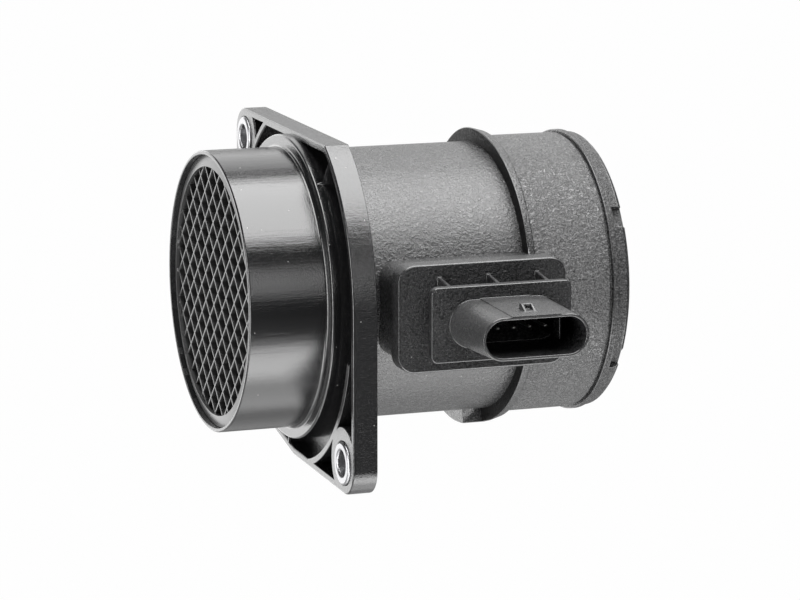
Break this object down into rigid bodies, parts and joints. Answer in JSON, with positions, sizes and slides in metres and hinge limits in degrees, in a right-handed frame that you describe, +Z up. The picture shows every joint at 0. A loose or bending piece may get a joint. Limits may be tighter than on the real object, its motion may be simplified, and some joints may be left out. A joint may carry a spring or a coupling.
{
  "type": "mass airflow sensor",
  "caption": "Duct-mounted mass airflow sensor: round air duct with flow grid, bolted ears, hose bead and a side electronics module with a shrouded plug socket.",
  "frame": {"origin": "on the duct axis in the plane of the inlet spigot's shoulder, where the collar begins", "axes": "+X along the duct in the direction of flow, -Y out of the connector, +Z up"},
  "size_m": [0.0988, 0.125, 0.0841],
  "materials": {
    "housing_plastic": "fine grain",
    "module_plastic": "fine grain",
    "grid_plastic": "satin",
    "bush_steel": "turned",
    "seal_rubber": "smooth",
    "terminal_metal": "tin plated",
    "board_laminate": "satin",
    "chip_plastic": "satin",
    "capacitor_ceramic": "satin",
    "element_ceramic": "glazed",
    "bead_resin": "glossy",
    "lead_metal": "drawn wire"
  },
  "bodies": {
    "root": {"housing": "housing_plastic", "sensor_module": "module_plastic", "board_cover": "module_plastic", "bypass_cover": "module_plastic", "flow_grid": "grid_plastic", "bush_upper": "bush_steel", "bush_lower": "bush_steel", "module_seal": "seal_rubber", "terminal_1": "terminal_metal", "terminal_2": "terminal_metal", "terminal_3": "terminal_metal", "terminal_4": "terminal_metal", "circuit_board": "board_laminate", "signal_chip": "chip_plastic", "capacitor_1": "capacitor_ceramic", "capacitor_2": "capacitor_ceramic", "capacitor_3": "capacitor_ceramic", "element_holder": "element_ceramic", "sensing_element": "element_ceramic", "temperature_bead": "bead_resin", "bead_lead_1": "lead_metal", "bead_lead_2": "lead_metal"}
  },
  "joints": []
}
